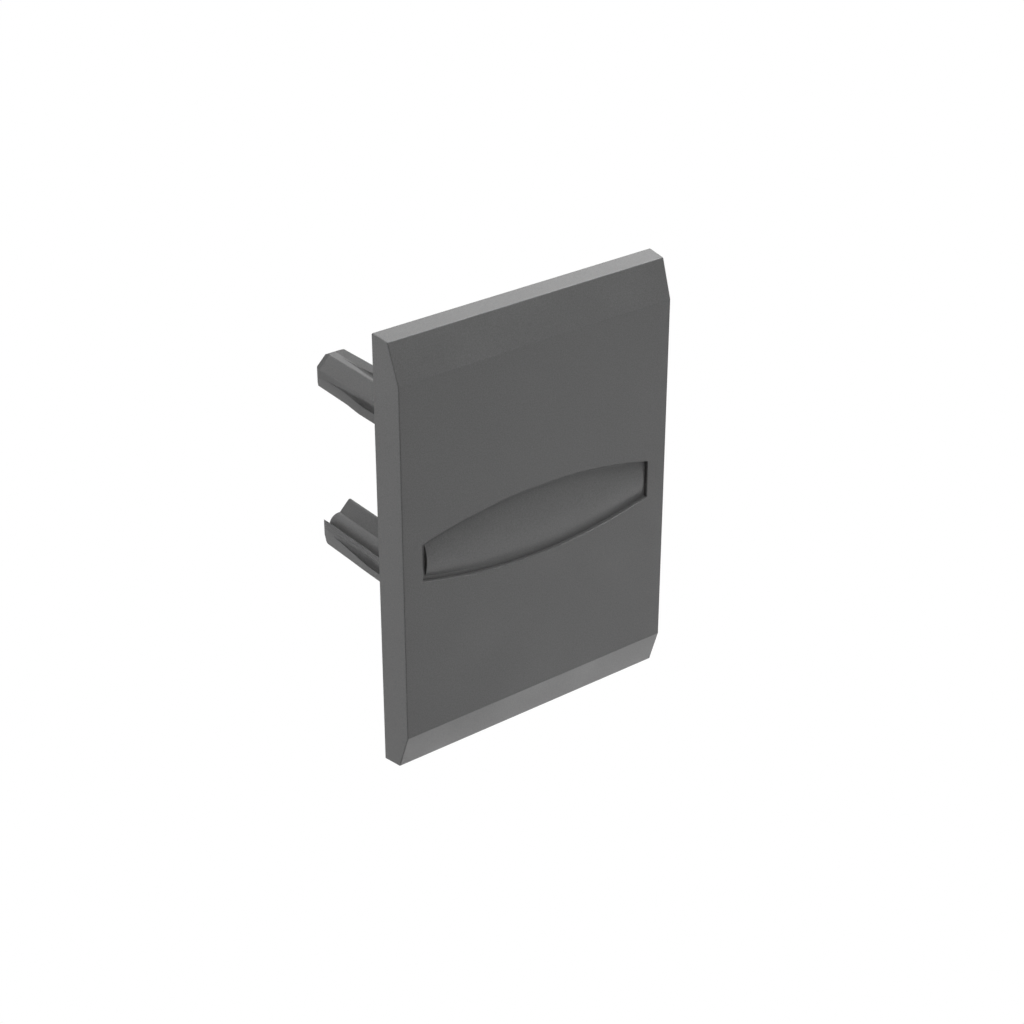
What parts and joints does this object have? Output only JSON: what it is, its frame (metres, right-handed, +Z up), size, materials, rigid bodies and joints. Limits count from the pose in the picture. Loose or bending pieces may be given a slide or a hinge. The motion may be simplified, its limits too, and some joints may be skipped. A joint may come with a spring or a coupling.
{
  "type": "profile end cap",
  "caption": "Bevelled end cover for an aluminium profile, with corner pegs that plug into its chamber and a raised label field.",
  "frame": {"origin": "centre of the seat, the flat back face of the cover plate, on the pegs' axis of symmetry", "axes": "+Z up along the plate's longer side, +X to the right seen from the front, -Y out of the face, +Y along the pegs into the profile"},
  "size_m": [0.04, 0.0304, 0.0564],
  "materials": {
    "end_cap": "dark grey moulded plastic with a fine matte texture"
  },
  "bodies": {
    "root": {"end_cap": "end_cap"}
  },
  "joints": []
}
